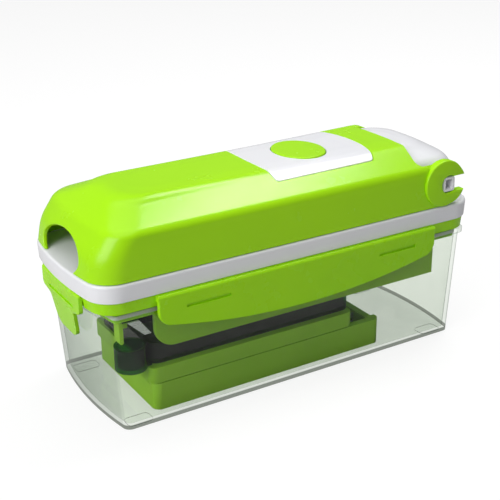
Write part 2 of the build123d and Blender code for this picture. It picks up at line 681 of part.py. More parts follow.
def make_peeler_handle():
    """Lime grip: an upright bar with an arm that reaches the top of the blade."""
    near, far = PEELER_Y
    bar = block(-119.3, -116.9, near - 2, far + 4, 52.8, 66.2)
    arm = block(-118.0, -113.4, near, far, PEELER_TOP - 2.6, PEELER_TOP)
    return fillet(bar.edges().filter_by(Axis.Y), 1.1) + arm


# ---- assembly --------------------------------------------------------------
def turned(shape):
    """The same piece at the opposite end."""
    return Rot(0, 0, 180) * shape


def build_parts():
    """Every node with its solids."""
    side_latch = make_side_latch()
    end_latch = make_end_latch()
    return {
        "container": make_container(),
        "storage_lid": make_storage_lid(),
        "lid_seal": make_lid_seal(),
        "front_latch": side_latch,
        "back_latch": turned(side_latch),
        "arch_end_latch": end_latch,
        "hinge_end_latch": turned(end_latch),
        "base_frame": make_base_frame(),
        "grid_insert_frame": make_grid_insert_frame(),
        "grid_blades_lengthwise": make_long_blades(),
        "grid_blades_crosswise": make_cross_blades(),
        "cover_shell": make_cover_shell(),
        "cover_panel": make_cover_panel(),
        "pusher_plate": make_pusher_plate(),
        "release_button": make_release_button(),
        "button_spring": make_button_spring(),
        "strip_insert_frame": make_strip_insert_frame(),
        "strip_insert_blades": make_strip_blades(),
        "wedge_insert_frame": make_wedge_insert_frame(),
        "wedge_insert_blades": make_wedge_blades(),
        "food_holder": make_food_holder(),
        "slicer_frame": make_slicer_frame(),
        "slicer_blade": make_slicer_blade(),
        "peeler_blade": make_peeler_blade(),
        "peeler_handle": make_peeler_handle(),
    }


def main():
    """Writes one STEP file per node."""
    os.makedirs("parts", exist_ok=True)
    for name, shape in build_parts().items():
        if isinstance(shape, list):
            shape = Compound(children=shape)
        export_step(shape, "parts/" + name + ".step")


main()
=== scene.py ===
"""Looks of the vegetable dicer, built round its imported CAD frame."""
import json
import math

import bmesh
import bpy
import numpy as np
from mathutils import Matrix, Vector


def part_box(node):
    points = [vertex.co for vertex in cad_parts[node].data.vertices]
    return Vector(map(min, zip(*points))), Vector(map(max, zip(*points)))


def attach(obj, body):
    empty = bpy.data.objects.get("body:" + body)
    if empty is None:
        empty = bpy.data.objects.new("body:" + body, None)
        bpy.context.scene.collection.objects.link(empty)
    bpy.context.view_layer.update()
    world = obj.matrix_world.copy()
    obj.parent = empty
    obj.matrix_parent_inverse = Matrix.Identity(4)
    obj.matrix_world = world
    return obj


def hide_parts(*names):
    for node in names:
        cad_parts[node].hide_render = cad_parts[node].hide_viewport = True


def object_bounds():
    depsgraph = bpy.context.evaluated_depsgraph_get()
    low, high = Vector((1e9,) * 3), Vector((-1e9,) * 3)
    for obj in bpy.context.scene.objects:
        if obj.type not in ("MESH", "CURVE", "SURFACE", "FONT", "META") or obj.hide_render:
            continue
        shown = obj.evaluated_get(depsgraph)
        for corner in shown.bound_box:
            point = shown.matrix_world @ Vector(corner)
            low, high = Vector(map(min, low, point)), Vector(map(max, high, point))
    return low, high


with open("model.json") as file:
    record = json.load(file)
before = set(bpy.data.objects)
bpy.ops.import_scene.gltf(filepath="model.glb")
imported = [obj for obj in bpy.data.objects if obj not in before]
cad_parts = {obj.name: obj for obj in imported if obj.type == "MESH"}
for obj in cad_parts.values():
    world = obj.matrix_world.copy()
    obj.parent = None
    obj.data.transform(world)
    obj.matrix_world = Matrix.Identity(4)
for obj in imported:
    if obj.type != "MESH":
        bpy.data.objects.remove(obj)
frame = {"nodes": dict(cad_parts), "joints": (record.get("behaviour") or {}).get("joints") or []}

cad_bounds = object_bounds()

# ---- measures, in millimetres, from the frame ------------------------------
MM = 0.001


def node_box(node):
    """Lowest and highest corner of a CAD node, in millimetres."""
    low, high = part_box(node)
    return np.array(low) / MM, np.array(high) / MM


def joint_point(name):
    """Position of a joint, in millimetres."""
    joint = next(j for j in frame["joints"] if j["name"] == name)
    return np.array(joint["pos_m"]) / MM


COVER_LOW, COVER_HIGH = node_box("cover_shell")
FRAME_LOW, FRAME_HIGH = node_box("base_frame")
PANEL_LOW, PANEL_HIGH = node_box("cover_panel")
BUTTON_LOW, BUTTON_HIGH = node_box("release_button")
GRID_LOW, GRID_HIGH = node_box("grid_insert_frame")
HINGE = joint_point("cover_hinge")

END_RADIUS = 240.0                      # plan radius of every bowed end
COVER_WALL = 2.4
COVER_HALF = 49.2                       # half width at the cover's lower edge
COVER_NOSE = FRAME_HIGH[0] - 0.7
COVER_BOTTOM = COVER_LOW[2]
COVER_TOP = 132.2
RIM_ROLL = 0.45                         # how far a moulded edge rounds out
DECK_TOP = GRID_HIGH[2]
FRAME_HALF_LENGTH = FRAME_HIGH[0]
FRAME_HALF_WIDTH = 50.0
FRAME_BOTTOM = FRAME_LOW[2]
PANEL_THICK = 1.3
EAR_OUTER = COVER_HIGH[1]
EAR_INNER = 44.8
EAR_RADIUS = 15.4
EAR_CENTRE = HINGE + np.array((-3.6, 0.0, 1.1))
EAR_LOWER_RADIUS = 13.4
EAR_SLOT_HALF = 4.95                    # half height of the ear's open slot
EAR_LIP = 12.4                          # slot mouth, outward from the pin
EAR_SEAT_RADIUS = 5.95                  # round part of the slot that holds the pin
EAR_ROUND = 0.8
COVER_REAR = 89.5
COVER_TAIL = 125.0
DOME_LEFT = 91.5
CROWN_CORNER = 17.0                     # plan corner radius of the cover, the housing and the frame
ARCH_HALF_WIDTH = 26.8
ARCH_RISE = 12.5
ARCH_CENTRE_Z = 101.0
ARCH_END_X = -100.0                     # the arch cuts only the nose beyond here
TOP_SKIN_Z = 110.0                      # outlines of the top panel act only above here
FAR = 50.0                              # field value where an opening doesn't act
PIN_TIP = -49.8
PIN_ROOT = -41.0
PIN_DEPTH = -44.0                       # floor of the hollow in the pin


# ---- curves and profiles ----------------------------------------------------
def rounded_path(corners, line_steps, arc_steps):
    """Samples a path of (a, b, radius) corners whose bends are arcs."""
    points = [np.array(c[:2], float) for c in corners]
    radii = [c[2] if len(c) > 2 else 0.0 for c in corners]
    path = []
    start = points[0]
    for i in range(1, len(points)):
        if i == len(points) - 1:
            end, arc = points[i], []
        else:
            end, arc = bend(points[i - 1], points[i], points[i + 1], radii[i], arc_steps)
        for k in range(line_steps):
            path.append(start + (end - start) * k / line_steps)
        path.extend(arc[:-1])
        start = arc[-1] if len(arc) else end
    path.append(points[-1])
    return np.array(path)


def bend(before, corner, after, radius, steps):
    """Where the straight part ends, and the arc that rounds a corner."""
    into = (before - corner) / np.linalg.norm(before - corner)
    out = (after - corner) / np.linalg.norm(after - corner)
    half = math.acos(float(np.clip(into @ out, -1, 1))) / 2
    reach = radius / math.tan(half)
    centre = corner + (into + out) / np.linalg.norm(into + out) * radius / math.sin(half)
    first, last = corner + into * reach, corner + out * reach
    a0 = math.atan2(*(first - centre)[::-1])
    a1 = math.atan2(*(last - centre)[::-1])
    sweep = (a1 - a0 + math.pi) % (2 * math.pi) - math.pi
    angles = [a0 + sweep * k / steps for k in range(steps + 1)]
    return first, [centre + radius * np.array((math.cos(a), math.sin(a))) for a in angles]


def nose_outline(half, nose, corner, tail, steps):
    """Plan from the tail along one side, round the bowed nose and back, in local x."""
    side_steps, corner_steps, bow_steps = steps
    bow_x = nose - END_RADIUS
    fillet_x = bow_x + math.sqrt((END_RADIUS - corner) ** 2 - (half - corner) ** 2)
    turn = math.atan2(half - corner, fillet_x - bow_x)
    points = [(tail + (fillet_x - tail) * k / side_steps, half) for k in range(side_steps)]
    for k in range(corner_steps):
        a = math.pi / 2 + (turn - math.pi / 2) * k / corner_steps
        points.append((fillet_x + corner * math.cos(a), half - corner + corner * math.sin(a)))
    for k in range(bow_steps):
        a = turn * (1 - k / bow_steps)
        points.append((bow_x + END_RADIUS * math.cos(a), END_RADIUS * math.sin(a)))
    points.append((nose, 0.0))
    mirrored = [(x, -y) for x, y in points[-2::-1]]
    return np.array(points + mirrored)


def ring_outline(half_length, half_width, corner, steps):
    """Closed plan with straight sides, bowed ends and rounded corners."""
    half = nose_outline(half_width, half_length, corner, 0.0, steps)
    other = -half
    return np.concatenate([half[:-1], other[:-1]])


def box_outline(x0, x1, half_width, corner, steps):
    """Closed rounded rectangle, point for point with ring_outline."""
    side_steps, corner_steps, bow_steps = steps
    half = []
    middle = (x0 + x1) / 2
    reach = (x1 - x0) / 2
    for k in range(side_steps):
        half.append(((reach - corner) * k / side_steps, half_width))
    for k in range(corner_steps):
        a = math.pi / 2 * (1 - k / corner_steps)
        half.append((reach - corner + corner * math.cos(a),
                     half_width - corner + corner * math.sin(a)))
    for k in range(2 * bow_steps):
        half.append((reach, (half_width - corner) * (1 - k / bow_steps)))
    for k in range(corner_steps):
        a = -math.pi / 2 * k / corner_steps
        half.append((reach - corner + corner * math.cos(a),
                     -half_width + corner + corner * math.sin(a)))
    for k in range(side_steps):
        half.append(((reach - corner) * (1 - k / side_steps), -half_width))
    half = np.array(half)
    return np.concatenate([half, -half]) + np.array((middle, 0.0))


# ---- sheets: open surfaces as (points, faces) -------------------------------
def grid_faces(rows, columns, closed=False, start=0):
    """Quads of a grid whose points are stored row by row."""
    faces = []
    for i in range(rows - 1):
        for j in range(columns if closed else columns - 1):
            k = (j + 1) % columns
            a, b = start + i * columns, start + (i + 1) * columns
            faces.append((a + j, a + k, b + k, b + j))
    return faces


def vertex_normals(points, faces):
    """Area-weighted normal at each point."""
    normals = np.zeros_like(points)
    for size in {len(f) for f in faces}:
        some = np.array([f for f in faces if len(f) == size])
        corners = points[some]
        across = np.cross(corners[:, 2] - corners[:, 0], corners[:, -1] - corners[:, 1])
        for k in range(size):
            np.add.at(normals, some[:, k], across)
    lengths = np.linalg.norm(normals, axis=1, keepdims=True)
    return normals / np.maximum(lengths, 1e-9)


def facing_out(points, faces):
    """Turns the faces so that they look away from the middle of the points."""
    normals = vertex_normals(points, faces)
    middle = (points.min(0) + points.max(0)) / 2
    if ((points - middle) * normals).sum() < 0:
        faces = [tuple(reversed(f)) for f in faces]
    return points, faces


def crown_sheet(side, nose, tail, way, steps, across=14):
    """Skin whose rings run from a lower edge up to a flat top, square at its tail."""
    rows = []
    for (half, side_z), (reach, nose_z) in zip(side, nose):
        corner = min(CROWN_CORNER, half - 1.0)
        ring = nose_outline(half, reach, corner, tail, steps)
        z = side_z + (nose_z - side_z) * ring[:, 0] / reach
        rows.append(np.column_stack([way * ring[:, 0], ring[:, 1], z]))
    columns = len(rows[0])
    points = list(np.concatenate(rows))
    faces = grid_faces(len(rows), columns)
    last = (len(rows) - 1) * columns
    middle = columns // 2
    lines = []
    for j in range(middle):
        first, other = points[last + j], points[last + columns - 1 - j]
        inner = range(len(points), len(points) + across - 1)
        points.extend(first + (other - first) * k / across for k in range(1, across))
        lines.append([last + j, *inner, last + columns - 1 - j])
    for one, two in zip(lines, lines[1:]):
        faces.extend((one[k], two[k], two[k + 1], one[k + 1]) for k in range(across))
    faces.extend((lines[-1][k], last + middle, lines[-1][k + 1]) for k in range(across))
    return facing_out(np.array(points), faces)


def gradient(field, points, step=0.01):
    """Slope of a field of points."""
    slope = np.zeros_like(points)
    for axis in range(3):
        shift = np.zeros(3)
        shift[axis] = step
        slope[:, axis] = (field(points + shift) - field(points - shift)) / (2 * step)
    return slope


def onto_edge(points, normals, field, rounds=3):
    """Slides points along the skin until the field is zero."""
    points = points.copy()
    for _ in range(rounds):
        slope = gradient(field, points)
        slope -= normals * (slope * normals).sum(1, keepdims=True)
        size = np.maximum((slope ** 2).sum(1), 1e-6)
        points -= slope * (field(points) / size)[:, None]
    return points


def clip(points, faces, field, snap=0.35):
    """Keeps the part of a sheet where the field is positive, with a clean edge on its zero line."""
    normals = vertex_normals(points, faces)
    value = field(points)
    near = np.abs(value) < snap
    if near.any():
        points = points.copy()
        points[near] = onto_edge(points[near], normals[near], field)
        value[near] = 0.0
    points = list(points)
    cuts = {}

    def crossing(a, b):
        key = (min(a, b), max(a, b))
        if key not in cuts:
            share = value[a] / (value[a] - value[b])
            point = points[a] + (points[b] - points[a]) * share
            normal = normals[a] + (normals[b] - normals[a]) * share
            normal /= np.linalg.norm(normal)
            cuts[key] = len(points)
            points.append(onto_edge(point[None], normal[None], field)[0])
        return cuts[key]

    kept = []
    for face in faces:
        signs = [value[v] for v in face]
        if min(signs) >= 0 and max(signs) > 0:
            kept.append(face)
        elif max(signs) > 0:
            new = []
            for a, b in zip(face, face[1:] + face[:1]):
                if value[a] >= 0:
                    new.append(a)
                if value[a] * value[b] < 0:
                    new.append(crossing(a, b))
            if len(new) > 2:
                kept.append(tuple(new))
    return compact(np.array(points), kept)


def compact(points, faces):
    """Drops the points that no face uses."""
    used = sorted({v for f in faces for v in f})
    index = {v: i for i, v in enumerate(used)}
    return points[used], [tuple(index[v] for v in f) for f in faces]


def open_edges(faces):
    """Directed edges that only one face uses, in the order met."""
    edges = {}
    for face in faces:
        for a, b in zip(face, face[1:] + face[:1]):
            if (b, a) in edges:
                del edges[(b, a)]
            else:
                edges[(a, b)] = True
    return edges


def thicken(points, faces, depth, roll=RIM_ROLL, rim_steps=4):
    """Closed moulding: the sheet, its inner copy at a depth, and rounded rims at every open edge."""
    normals = vertex_normals(points, faces)
    edges = open_edges(faces)
    out = np.zeros_like(points)
    for a, b in edges:
        across = np.cross(points[b] - points[a], normals[a] + normals[b])
        out[a] += across
        out[b] += across
    lengths = np.linalg.norm(out, axis=1, keepdims=True)
    out = out / np.maximum(lengths, 1e-9)
    rim = sorted({v for e in edges for v in e})
    place = {v: i for i, v in enumerate(rim)}
    count = len(points)
    layers = [points, points - normals * depth]
    for k in range(1, rim_steps):
        a = math.pi * k / rim_steps
        sunk = normals[rim] * depth / 2 * (1 - math.cos(a))
        layers.append(points[rim] - sunk + out[rim] * roll * math.sin(a))
    closed = list(faces) + [tuple(v + count for v in reversed(f)) for f in faces]

    def at(vertex, k):
        if k == 0:
            return vertex
        if k == rim_steps:
            return vertex + count
        return 2 * count + (k - 1) * len(rim) + place[vertex]

    for a, b in edges:
        for k in range(rim_steps):
            closed.append((at(b, k), at(a, k), at(a, k + 1), at(b, k + 1)))
    return np.concatenate(layers), closed


def joined(*shapes):
    """Several closed shapes as one."""
    points, faces, start = [], [], 0
    for some, its_faces in shapes:
        points.append(some)
        faces.extend(tuple(v + start for v in f) for f in its_faces)
        start += len(some)
    return np.concatenate(points), faces


def flipped_y(shape):
    """Mirror image across the long axis."""
    points, faces = shape
    return points * np.array((1, -1, 1)), [tuple(reversed(f)) for f in faces]


def lofted(rings, caps=True):
    """Closed loops of equal size joined in order, with their first and last loops filled."""
    count = len(rings[0])
    points = np.concatenate(rings)
    faces = grid_faces(len(rings), count, closed=True)
    if caps:
        faces.append(tuple(reversed(range(count))))
        faces.append(tuple(range((len(rings) - 1) * count, len(rings) * count)))
    return points, faces


def to_bmesh(shape):
    """A bmesh of points and faces."""
    bm = bmesh.new()
    verts = [bm.verts.new(p) for p in shape[0]]
    for face in shape[1]:
        bm.faces.new([verts[v] for v in face])
    return bm


def inset(outline, amount):
    """Outline moved inward along its corner bisectors, for one that runs anticlockwise."""
    before, after = np.roll(outline, 1, 0), np.roll(outline, -1, 0)
    normals = []
    for a, b in ((before, outline), (outline, after)):
        run = b - a
        run /= np.maximum(np.linalg.norm(run, axis=1, keepdims=True), 1e-9)
        normals.append(np.column_stack([-run[:, 1], run[:, 0]]))
    both = normals[0] + normals[1]
    scale = np.maximum((both * both).sum(1, keepdims=True) / 2, 0.35)
    return outline + amount * both / scale


def anticlockwise(outline):
    """The outline in anticlockwise order."""
    x, y = outline.T
    area = (x * np.roll(y, -1) - y * np.roll(x, -1)).sum()
    return outline if area > 0 else outline[::-1]


def pillow(outline, low, high, radius, plane="xz", steps=4):
    """Prism of an outline whose edges at both ends are rounded."""
    outline = anticlockwise(outline)
    levels = []
    for k in range(steps + 1):
        a = math.pi / 2 * k / steps
        levels.append((radius * (1 - math.sin(a)), radius * (1 - math.cos(a))))
    rings = [(amount, low + depth) for amount, depth in levels]
    rings += [(amount, high - depth) for amount, depth in reversed(levels)]
    placed = []
    for amount, level in rings:
        a, b = inset(outline, amount).T
        c = np.full(len(outline), level)
        order = {"xz": (a, c, b), "yz": (c, a, b), "xy": (a, b, c)}[plane]
        placed.append(np.column_stack(order))
    return lofted(placed)


def rounded_outline(corners, arc_steps=6):
    """Closed outline whose (a, b, radius) corners are rounded."""
    points = [np.array(c[:2], float) for c in corners]
    count = len(points)
    path = []
    for i, (_, _, radius) in enumerate(corners):
        if radius:
            after = points[(i + 1) % count]
            path.extend(bend(points[i - 1], points[i], after, radius, arc_steps)[1])
        else:
            path.append(points[i])
    return np.array(path)


def make_object(name, shape, body, slot, stands_for=(), smooth_angle=32):
    """Mesh object in metres that rides on a body and stands for CAD nodes."""
    bm = to_bmesh(shape)
    bmesh.ops.recalc_face_normals(bm, faces=bm.faces)
    bmesh.ops.scale(bm, vec=(MM, MM, MM), verts=bm.verts)
    limit = math.radians(smooth_angle)
    for face in bm.faces:
        face.smooth = True
    for edge in bm.edges:
        edge.smooth = len(edge.link_faces) != 2 or edge.calc_face_angle(0) < limit
    mesh = bpy.data.meshes.new(name)
    bm.to_mesh(mesh)
    bm.free()
    piece = bpy.data.objects.new(name, mesh)
    bpy.context.scene.collection.objects.link(piece)
    piece.data.materials.append(MATERIALS[slot])
    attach(piece, body)
    if stands_for:
        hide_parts(*stands_for)
    return piece


# ---- materials ---------------------------------------------------------------
class Nodes:
    """Short names for building a node tree."""

    def __init__(self, name):
        self.material = bpy.data.materials.new(name)
        self.material.use_nodes = True
        self.tree = self.material.node_tree
        self.tree.nodes.clear()

    def add(self, kind, **inputs):
        """A node with its inputs set by name: a value, or another node's socket."""
        node = self.tree.nodes.new(kind)
        for key, value in inputs.items():
            key = key.replace("_", " ")
            if key in node.inputs:
                self.feed(node.inputs[key], value)
            else:
                setattr(node, key.replace(" ", "_"), value)
        return node

    def feed(self, socket, value):
        """Links a socket, or sets its value."""
        if isinstance(value, bpy.types.NodeSocket):
            self.tree.links.new(value, socket)
        else:
            socket.default_value = value

    def position(self):
        """Object coordinates, in metres."""
        return self.add("ShaderNodeTexCoord").outputs["Object"]

    def noise(self, scale, detail=3.0, rough=0.5):
        """Noise value of a feature size of about 1 / scale metres."""
        node = self.add("ShaderNodeTexNoise", Scale=scale, Detail=detail, Roughness=rough)
        self.feed(node.inputs["Vector"], self.position())
        return node.outputs["Fac"]

    def spread(self, value, low, high, start=0.0, end=1.0):
        """Maps a value from start..end to low..high."""
        node = self.add("ShaderNodeMapRange")
        self.feed(node.inputs["Value"], value)
        for key, number in (("From Min", start), ("From Max", end), ("To Min", low), ("To Max", high)):
            node.inputs[key].default_value = number
        return node.outputs["Result"]

    def blend(self, share, one, two):
        """Mix of two colours."""
        node = self.add("ShaderNodeMix", data_type="RGBA")
        self.feed(node.inputs["Factor"], share)
        self.feed(node.inputs[6], one)
        self.feed(node.inputs[7], two)
        return node.outputs[2]

    def bump(self, height, strength, distance):
        """Normal bent by a height."""
        node = self.add("ShaderNodeBump", Strength=strength, Distance=distance)
        self.feed(node.inputs["Height"], height)
        return node.outputs["Normal"]

    def finish(self, shader):
        """Connects the surface."""
        out = self.add("ShaderNodeOutputMaterial")
        self.tree.links.new(shader, out.inputs["Surface"])
        return self.material


def linear(red, green, blue):
    """Linear colour from display values of 0 to 255."""
    def one(c):
        c /= 255
        return c / 12.92 if c <= 0.04045 else ((c + 0.055) / 1.055) ** 2.4
    return (one(red), one(green), one(blue), 1.0)


def moulded_plastic(name, colour, tone, roughness, glow=0.0, grain=1.0, shine=0.3):
    """Gloss moulding: slight flow marks, fine orange peel, paler worn edges."""
    n = Nodes(name)
    flow = n.noise(9.0, 3.0, 0.5)
    shade = n.blend(n.spread(flow, 0.0, 1.0, 0.35, 0.65), colour, tone)
    edge = n.add("ShaderNodeNewGeometry").outputs["Pointiness"]
    pale = tuple(min(1.0, c * 1.1 + 0.01) for c in colour[:3]) + (1.0,)
    shade = n.blend(n.spread(edge, 0.0, 0.5, 0.52, 0.62), shade, pale)
    peel = n.noise(900.0, 2.0)
    handling = n.noise(40.0, 4.0, 0.6)
    rough = n.spread(handling, roughness * 0.85, roughness * 1.2, 0.3, 0.7)
    shader = n.add("ShaderNodeBsdfPrincipled", Base_Color=shade, Roughness=rough, IOR=1.5)
    n.feed(shader.inputs["Normal"], n.bump(peel, 0.05 * grain, 0.0004))
    shader.inputs["Specular IOR Level"].default_value = shine
    if glow:
        shader.inputs["Subsurface Weight"].default_value = glow
        shader.inputs["Subsurface Radius"].default_value = (0.5, 1.0, 0.15)
        shader.inputs["Subsurface Scale"].default_value = 0.003
    return n.finish(shader.outputs[0])


def clear_plastic(name, tint, edge, rim, shade_band_height, gloss=1.0):
    """Clear moulding seen straight through: a tint that deepens where it is looked along, painted shade
    low on its upright walls, and a sheen.
    """
    n = Nodes(name)
    facing = n.add("ShaderNodeLayerWeight", Blend=0.5).outputs["Facing"]
    cloud = n.spread(n.noise(50.0, 4.0, 0.6), -0.04, 0.04, 0.35, 0.65)
    deep = n.add("ShaderNodeMath", operation="ADD")
    n.feed(deep.inputs[0], n.spread(facing, 0.0, 1.0, 0.45, 1.0))
    n.feed(deep.inputs[1], cloud)
    colour = n.blend(deep.outputs[0], tint, edge)
    split = n.add("ShaderNodeSeparateXYZ")
    n.feed(split.inputs[0], n.position())
    # Painted shade: upright walls below the given height take the rim colour. This stands in for the dark
    # line the clear floor shows when seen edge-on.
    shade_below = n.spread(split.outputs["Z"], 1.0, 0.0, shade_band_height * 0.85, shade_band_height)
    upright = n.add("ShaderNodeSeparateXYZ")
    n.feed(upright.inputs[0], n.add("ShaderNodeNewGeometry").outputs["Normal"])
    steep = n.add("ShaderNodeMath", operation="ABSOLUTE")
    n.feed(steep.inputs[0], upright.outputs["Z"])
    wall = n.spread(steep.outputs[0], 1.0, 0.0, 0.5, 0.8)
    painted_shade_band = n.add("ShaderNodeMath", operation="MULTIPLY")
    n.feed(painted_shade_band.inputs[0], shade_below)
    n.feed(painted_shade_band.inputs[1], wall)
    colour = n.blend(painted_shade_band.outputs[0], colour, rim)
    clear = n.add("ShaderNodeBsdfTransparent", Color=colour)
    rough = n.spread(n.noise(80.0, 4.0), 0.02, 0.06, 0.35, 0.7)
    sheen = n.add("ShaderNodeBsdfGlossy", Color=(gloss, gloss, gloss, 1.0), Roughness=rough)
    ripple = n.bump(n.noise(220.0, 2.0), 0.05, 0.0003)
    n.feed(sheen.inputs["Normal"], ripple)
    outer = n.spread(n.add("ShaderNodeNewGeometry").outputs["Backfacing"], 1.0, 0.0)
    mirrored = n.add("ShaderNodeMath", operation="MULTIPLY")
    n.feed(mirrored.inputs[0], n.add("ShaderNodeFresnel", IOR=1.45).outputs[0])
    n.feed(mirrored.inputs[1], outer)
    mix = n.add("ShaderNodeMixShader")
    n.feed(mix.inputs[0], mirrored.outputs[0])
    n.feed(mix.inputs[1], clear.outputs[0])
    n.feed(mix.inputs[2], sheen.outputs[0])
    return n.finish(mix.outputs[0])


def brushed_steel(name, colour, along):
    """Ground steel strip with fine lines along one axis."""
    n = Nodes(name)
    stretch = n.add("ShaderNodeMapping")
    n.feed(stretch.inputs["Vector"], n.position())
    stretch.inputs["Scale"].default_value = along
    lines = n.add("ShaderNodeTexNoise", Scale=1.0, Detail=4.0)
    n.feed(lines.inputs["Vector"], stretch.outputs[0])
    rough = n.spread(lines.outputs["Fac"], 0.18, 0.42, 0.3, 0.7)
    stain = n.spread(n.noise(120.0, 3.0), 0.0, 0.25, 0.5, 0.8)
    dark = tuple(c * 0.7 for c in colour[:3]) + (1.0,)
    shade = n.blend(stain, colour, dark)
    shader = n.add("ShaderNodeBsdfPrincipled", Base_Color=shade, Roughness=rough, Metallic=1.0)
    n.feed(shader.inputs["Normal"], n.bump(lines.outputs["Fac"], 0.1, 0.0002))
    return n.finish(shader.outputs[0])


LIME = linear(165, 227, 12)
MATERIALS = {
    "lime_cover": moulded_plastic("lime_cover_gloss", LIME, linear(160, 223, 10), 0.24),
    "lime_lid": moulded_plastic("lime_lid_gloss", linear(162, 226, 10), linear(154, 220, 8), 0.26, 0.15),
    "lime_insert": moulded_plastic("lime_insert_satin", linear(158, 208, 50),
                                   linear(150, 202, 42), 0.4, 0.15, 1.6),
    "white_plastic": moulded_plastic("white_gloss", linear(232, 232, 235),
                                     linear(226, 227, 231), 0.22, shine=0.5),
    # Clear materials: tint, tint where looked along, then the painted shade colour for the lower walls
    # and the height in metres that it reaches.
    "clear_plastic": clear_plastic("clear_wall", (0.93, 0.95, 0.92, 1.0), (0.55, 0.6, 0.55, 1.0),
                                   (0.3, 0.32, 0.29, 1.0), 0.0034),
    "tinted_clear": clear_plastic("green_tint", (0.16, 0.42, 0.22, 1.0), (0.04, 0.14, 0.07, 1.0),
                                  (0.06, 0.25, 0.12, 1.0), 0.034),
    "blade_steel": brushed_steel("blade_steel", (0.72, 0.73, 0.75, 1.0), (30.0, 900.0, 900.0)),
    "spring_steel": brushed_steel("spring_steel", (0.6, 0.61, 0.63, 1.0), (900.0, 900.0, 300.0)),
    "seal_rubber": moulded_plastic("seal_rubber", linear(214, 218, 214),
                                   linear(200, 206, 200), 0.55, 0.3, 2.5),
}


# ---- cover -------------------------------------------------------------------
# Side and nose profiles as (outward, z, bend radius), point for point.
COVER_SIDE = ((COVER_HALF, COVER_BOTTOM + RIM_ROLL), (48.7, 107.0, 600.0), (47.9, 120.3, 5.5),
              (25.2, 131.9, 16.0), (14.0, COVER_TOP))
COVER_FRONT = ((COVER_NOSE, COVER_BOTTOM + RIM_ROLL), (134.9, 107.0, 26.0), (126.0, 120.0, 14.0),
               (107.0, 131.9, 24.0), (92.0, COVER_TOP))
DOME_SIDE = ((43.2, DECK_TOP - 1.0), (43.0, 109.0, 50.0), (40.4, 122.6, 8.0),
             (24.0, 130.4, 16.0), (12.0, 131.1))
DOME_END = ((133.4, DECK_TOP - 1.0), (132.9, 107.0, 26.0), (127.4, 121.2, 13.0), (111.0, 130.4, 20.0),
            (100.0, 131.1))
LINE_STEPS, ARC_STEPS = 9, 7


def cover_skin():
    """Outer skin of the cover before any opening is cut."""
    side = rounded_path(COVER_SIDE, LINE_STEPS, ARC_STEPS)
    nose = rounded_path(COVER_FRONT, LINE_STEPS, ARC_STEPS)
    return crown_sheet(side, nose, -COVER_TAIL, -1, (150, 12, 34))


def rounded_corner(a, b, radius):
    """Distance field of the region where a and b are both negative, with a rounded corner."""
    inside = np.minimum(np.maximum(a, b) + radius, 0)
    return inside + np.hypot(np.maximum(a + radius, 0), np.maximum(b + radius, 0)) - radius


def arch_field(points):
    """Negative inside the finger arch in the nose."""
    y = points[:, 1] / (ARCH_HALF_WIDTH - RIM_ROLL)
    z = (points[:, 2] - ARCH_CENTRE_Z) / (ARCH_RISE - RIM_ROLL)
    size = np.hypot(y, z)
    slope = np.maximum(np.hypot(y / ARCH_HALF_WIDTH, z / ARCH_RISE), 1e-6)
    field = (size - 1) * size / slope
    return np.where(points[:, 0] < ARCH_END_X, field, FAR)


def rear_field(points):
    """Negative behind the rear edge of the top skin, between the two side walls."""
    across = np.abs(points[:, 1]) - (EAR_INNER + RIM_ROLL)
    along = COVER_REAR + 1.5 - 1.5 * (points[:, 1] / 40) ** 2 - points[:, 0] - RIM_ROLL
    return rounded_corner(across, along, 5.0)


def tail_field(points):
    """Negative beyond the middle of the ears."""
    return EAR_CENTRE[0] - points[:, 0]


def panel_field(points, grow):
    """Negative inside the outline of the top panel."""
    x, y = points[:, 0], points[:, 1]
    half = PANEL_HIGH[1] + grow
    left = PANEL_LOW[0] - grow + 1.6 * (y / half) ** 2
    right = PANEL_HIGH[0] + grow - 7.0 * (y / half) ** 2
    field = rounded_corner(np.maximum(left - x, x - right), np.abs(y) - half, 2.0)
    return np.where(points[:, 2] > TOP_SKIN_Z, field, FAR)


def button_field(points, grow):
    """Negative inside the outline of the release button."""
    centre = (BUTTON_LOW + BUTTON_HIGH) / 2
    reach = (BUTTON_HIGH - BUTTON_LOW) / 2 - 1.6 + grow
    x, y = (points[:, 0] - centre[0]) / reach[0], points[:, 1] / reach[1]
    size = np.hypot(x, y)
    field = (size - 1) * size / np.maximum(np.hypot(x / reach[0], y / reach[1]), 1e-6)
    return np.where(points[:, 2] > TOP_SKIN_Z, field, FAR)


def ear():
    """Hinge ear of the near side: a disc with the pin slot open towards the end."""
    outline = []
    first = math.atan2(EAR_SLOT_HALF, EAR_LIP)
    to_disc = (EAR_CENTRE - HINGE)[[0, 2]]
    for k in range(31):
        a = first + (2 * math.pi - 2 * first) * k / 30
        way = np.array((math.cos(a), math.sin(a)))
        along = way @ to_disc
        disc = along + math.sqrt(EAR_RADIUS ** 2 - to_disc @ to_disc + along ** 2)
        lower_right = a > 1.5 * math.pi
        outline.append(way * (EAR_LOWER_RADIUS if lower_right else max(disc, EAR_LOWER_RADIUS)))
    bottom = math.asin(EAR_SLOT_HALF / EAR_SEAT_RADIUS)
    for k in range(13):
        a = -bottom - (2 * math.pi - 2 * bottom) * k / 12
        outline.append(EAR_SEAT_RADIUS * np.array((math.cos(a), math.sin(a))))
    outline = np.array(outline) + HINGE[[0, 2]]
    outline[:, 1] = np.maximum(outline[:, 1], COVER_BOTTOM + 0.2)
    return pillow(outline[::-1], -EAR_OUTER, -EAR_INNER, EAR_ROUND)


